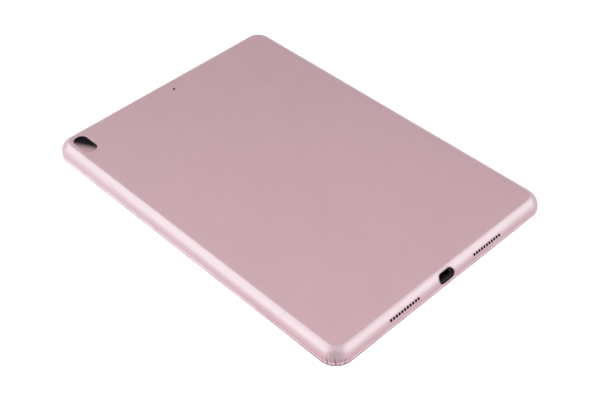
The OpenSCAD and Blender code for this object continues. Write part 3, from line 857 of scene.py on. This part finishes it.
def front_glass():
    """Polished glass over a black border, the dark display, the front camera and the light sensor."""
    look = Look("front_glass", Specular_IOR_Level=0.45, Coat_Weight=0.15, Coat_Roughness=0.03)
    _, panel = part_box("lcd_panel")
    border = 1.5
    view = box_mask(look, panel.x / MM - border, panel.y / MM - border)
    camera, sensor = middle("front_camera_module"), middle("light_sensor")
    shade = look.mix(view, (0.0035, 0.0035, 0.004), (0.011, 0.013, 0.017))
    shade = look.mix(disc_mask(look, camera.x, camera.y, 1.9), shade, (0.018, 0.020, 0.030))
    shade = look.mix(disc_mask(look, camera.x, camera.y, 0.8, 0.3), shade, (0.002, 0.003, 0.010))
    shade = look.mix(disc_mask(look, sensor.x, sensor.y, 1.0), shade, (0.016, 0.012, 0.014))
    smudge = look.noise(22, 4, 0.6, warp=0.4)
    look.raise_by(look.noise(40, 1), 0.01)
    return look.finish(shade, look.span(smudge, 0.45, 0.75, 0.045, 0.11))


LIT_WAY = (-0.88, -0.47)   # the camera's opening goes from painted shade to painted rose light this way
LIT_SPAN = (-2.2, 3.8)     # from here to here, measured from its middle


def painted_lens_light(look):
    """0 where the camera's opening has painted shade, 1 where it has painted rose light."""
    _, x0, y0, _, _ = CAMERA
    x = look.math("SUBTRACT", look.axis(0), x0)
    y = look.math("SUBTRACT", look.axis(1), y0)
    along_x, along_y = (look.math("MULTIPLY", v, way) for v, way in zip((x, y), LIT_WAY))
    return look.span(look.math("ADD", along_x, along_y), *LIT_SPAN)


def camera_glass():
    """Dark window of the rear camera with the lens's eye in it, painted shade on one side fading to painted
    rose light.
    """
    look = Look("camera_glass", Specular_IOR_Level=0.06)
    fade = painted_lens_light(look)
    lens = middle("rear_camera_lens")
    eye = disc_mask(look, lens.x, lens.y, 2.3, 0.3)
    shade = look.mix(eye, (0.003, 0.003, 0.004), (0.006, 0.006, 0.012))
    # painted rose light on the pale side of the window
    shade = look.mix(fade, shade, (0.50, 0.33, 0.36))
    look.raise_by(look.noise(12, 1), 0.008)
    return look.finish(shade, look.varied(3, 0.12, 0.2))


def opening_wall(name, dark, bright):
    """Wall of the camera's opening, with painted shade fading to painted rose light as on its window."""
    look = Look(name, Specular_IOR_Level=0.12)
    fade = painted_lens_light(look)
    look.raise_by(look.noise(0.2, 2), 0.006)
    return look.finish(look.mix(fade, dark, bright), look.varied(1.0, 0.38, 0.5))


def lens_glass():
    """Coated lens with a blue to violet tint."""
    look = Look("lens_glass", Specular_IOR_Level=0.8, Coat_Weight=1.0, Coat_Roughness=0.02)
    tint = look.noise(3, 1)
    return look.finish(look.mix(tint, (0.006, 0.006, 0.02), (0.02, 0.012, 0.05)),
                       look.varied(1.5, 0.03, 0.07))


def led_resin():
    """Clear resin over the flash's yellow chip."""
    look = Look("led_resin", Subsurface_Weight=0.15, Subsurface_Scale=0.001)
    led = middle("flash_led")
    yellow = box_mask(look, 0.9, 0.9, led.x, led.y)
    look.raise_by(look.cells(0.35, "F1", 0.0), 0.04)
    return look.finish(look.mix(yellow, (0.75, 0.73, 0.66), (0.85, 0.72, 0.22)),
                       look.varied(0.8, 0.22, 0.34))


def woven_mesh():
    """Fine woven steel mesh."""
    look = Look("mesh_steel", Metallic=0.9)
    weave = look.cells(0.22, "F1", 0.0)
    look.raise_by(weave, 0.08)
    return look.finish(look.mix(look.span(weave, 0.2, 0.6), (0.22, 0.22, 0.23), (0.01, 0.01, 0.01)),
                       look.varied(1, 0.4, 0.5))


def display_film(name, color):
    """Smooth coated layer of the display."""
    look = Look(name, Coat_Weight=0.3, Coat_Roughness=0.08)
    look.raise_by(look.noise(30, 2), 0.05)
    shade = look.mix(look.span(look.noise(25, 2), 0.3, 0.7), toned(color, 0.9), color)
    return look.finish(shade, look.span(look.noise(10, 3), 0.35, 0.7, 0.14, 0.22))


MATERIALS = {
    "case_plastic": lambda: plastic("case_plastic", (0.010, 0.0098, 0.0104), 0.75, grain=0.3,
                                    Specular_IOR_Level=0.1),
    "lining_cloth": microfibre,
    "trim_rubber": rim_rubber,
    "black_plastic": lambda: plastic("black_plastic", (0.016, 0.016, 0.017), 0.48),
    "graphite_metal": lambda: metal("graphite_metal", (0.030, 0.031, 0.033), 0.42, metallic=0.85),
    "front_glass": front_glass,
    "seal_foam": foam,
    "touch_film": lambda: display_film("touch_film", (0.035, 0.05, 0.06)),
    "display_glass": lambda: display_film("display_glass", (0.014, 0.022, 0.034)),
    "white_plastic": lambda: plastic("white_plastic", (0.78, 0.79, 0.80), 0.4, tone=0.04),
    "sheet_aluminium": lambda: metal("sheet_aluminium", (0.68, 0.69, 0.71), 0.36, grain=0.2, depth=0.004,
                                     brush=(1, 0.05, 1)),
    "pouch_foil": lambda: foil("pouch_foil", (0.12, 0.125, 0.135), 0.36),
    "glue_film": lambda: film("glue_film", (0.72, 0.68, 0.58), 0.4),
    "circuit_board": circuit_board,
    "flex_circuit": lambda: flex_circuit("flex_circuit", (0.42, 0.20, 0.045)),
    "chip_plastic": lambda: plastic("chip_plastic", (0.018, 0.018, 0.019), 0.5, grain=0.15),
    "tinned_steel": lambda: metal("tinned_steel", (0.62, 0.63, 0.64), 0.3, grain=0.4, depth=0.006),
    "thermal_pad": lambda: plastic("thermal_pad", (0.22, 0.27, 0.33), 0.7, grain=0.4, depth=0.02),
    "connector_plastic": lambda: plastic("connector_plastic", (0.62, 0.57, 0.46), 0.42),
    "screw_steel": lambda: metal("screw_steel", (0.58, 0.59, 0.61), 0.26, grain=0.08, depth=0.004),
    "lens_glass": lens_glass,
    "camera_glass": camera_glass,
    "dark_metal": lambda: opening_wall("dark_metal", (0.006, 0.006, 0.0065), (0.40, 0.27, 0.295)),
    "led_resin": led_resin,
    # near-black, far darker than steel: painted shade inside the port
    "bright_steel": lambda: metal("bright_steel", (0.010, 0.010, 0.0105), 0.6, grain=0.2, depth=0.003,
                                  brush=(1, 0.1, 1)),
    "mesh_steel": woven_mesh,
    "button_metal": lambda: metal("button_metal", (0.035, 0.036, 0.038), 0.34),
}


def dress(record):
    """Gives every CAD node the material of its slot in the record."""
    made = {}
    for part in record["subparts"]:
        name, slot = part["node"], part["material_slot"]
        if slot not in MATERIALS:
            continue
        if slot not in made:
            made[slot] = MATERIALS[slot]()
        node = frame["nodes"][name]
        node.data.materials.clear()
        node.data.materials.append(made[slot])


# ---------------------------------------------------------------- stage
def card(name, place, across, size, radiance, glossy=True, diffuse=True, aim=(0, 0, 0)):
    """Large soft card at a place, facing the object: its size is across by up, in metres."""
    light = bpy.data.lights.new(name, "AREA")
    light.shape = "RECTANGLE"
    light.size, light.size_y = size
    light.energy = radiance * pi * size[0] * size[1]
    made = bpy.data.objects.new(name, light)
    back = (Vector(place) - Vector(aim)).normalized()
    up = back.cross(Vector(across)).normalized()
    turn = Matrix((up.cross(back), up, back)).transposed().to_4x4()
    made.matrix_world = Matrix.Translation(Vector(place)) @ turn
    made.visible_diffuse = diffuse
    made.visible_glossy = glossy
    bpy.context.scene.collection.objects.link(made)


FLOOR_HALF = 3000
FLOOR_Z = -0.02             # just under the rim


def make_floor():
    """Plain white table that glows a little, like a light table."""
    corners = [(sx * FLOOR_HALF, sy * FLOOR_HALF, FLOOR_Z) for sx, sy in CORNERS]
    floor = add_mesh("floor", corners, [(0, 1, 2, 3)], smooth=False)
    look = Look("floor_white", Roughness=0.9, Specular_IOR_Level=0.0, Base_Color=(0.35, 0.35, 0.35, 1),
                Emission_Color=(1, 1, 1, 1), Emission_Strength=0.86)
    floor.data.materials.append(look.material)


def make_world(zenith, horizon):
    """Even white light all round, a little stronger low down."""
    world = bpy.data.worlds.new("studio")
    world.use_nodes = True
    nodes, links = world.node_tree.nodes, world.node_tree.links
    split = nodes.new("ShaderNodeSeparateXYZ")
    links.new(nodes.new("ShaderNodeTexCoord").outputs["Generated"], split.inputs[0])
    level = nodes.new("ShaderNodeMapRange")
    level.inputs["From Min"].default_value, level.inputs["From Max"].default_value = 0.1, 0.8
    level.inputs["To Min"].default_value, level.inputs["To Max"].default_value = horizon, zenith
    links.new(split.outputs["Z"], level.inputs["Value"])
    links.new(level.outputs[0], nodes["Background"].inputs["Strength"])
    nodes["Background"].inputs["Color"].default_value = (1, 1, 1, 1)
    bpy.context.scene.world = world


# The camera looks at a place on the floor, in millimetres, from a bearing, an elevation and a distance
AIM = Vector((-9.48, -17.35, 0))
BEARING = radians(-42.41)
ELEVATION = radians(42.81)
TILT = radians(-2.22)
DISTANCE = 691.48
FOCAL = 68.2


def make_camera():
    """The camera of the main picture."""
    camera = bpy.data.cameras.new("camera")
    camera.lens = FOCAL
    camera.sensor_width = 36
    camera.clip_start, camera.clip_end = 0.01, 20
    made = bpy.data.objects.new("camera", camera)
    level = Vector((cos(BEARING), sin(BEARING), 0))
    back = Vector((sin(BEARING) * cos(ELEVATION), -cos(BEARING) * cos(ELEVATION), sin(ELEVATION)))
    right = level * cos(TILT) + back.cross(level) * sin(TILT)
    turn = Matrix((right, back.cross(right), back)).transposed().to_4x4()
    made.matrix_world = Matrix.Translation((AIM + back * DISTANCE) * MM) @ turn
    bpy.context.scene.collection.objects.link(made)
    bpy.context.scene.camera = made


# ---------------------------------------------------------------- build
make_camera()
make_world(zenith=0.52, horizon=0.72)
make_floor()
# Two large cards make the highlights along the shoulder
card("card_left", (-0.78, 0.88, 1.10), across=(1, 0, 0), size=(2.9, 1.4), radiance=4.2, diffuse=False)
card("card_right", (0.82, -0.90, 0.90), across=(0, 1, 0), size=(1.8, 1.25), radiance=4.2, diffuse=False)
# The others light the leather without being mirrored in it: from above, and low at two sides
card("key", (-0.30, -0.28, 0.62), across=(1, 0, 0), size=(0.6, 0.6), radiance=2.8, glossy=False)
card("low_left", (-0.38, 0.36, 0.05), across=(0, 1, 0), size=(0.3, 0.08), radiance=6.0, glossy=False,
     aim=(-0.09, 0.12, 0))
card("low_right", (0.34, -0.42, 0.05), across=(1, 0, 0), size=(0.3, 0.08), radiance=2.0, glossy=False,
     aim=(0.04, -0.12, 0))
bpy.context.scene.view_settings.view_transform = "Standard"

dress(frame["record"])

leather = make_leather()
leather.data.materials.append(rose_leather())
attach(leather, "case")
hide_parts("leather_cover")

bead = make_rim()
bead.data.materials.append(MATERIALS["trim_rubber"]())
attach(bead, "case")
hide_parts("rim_trim")
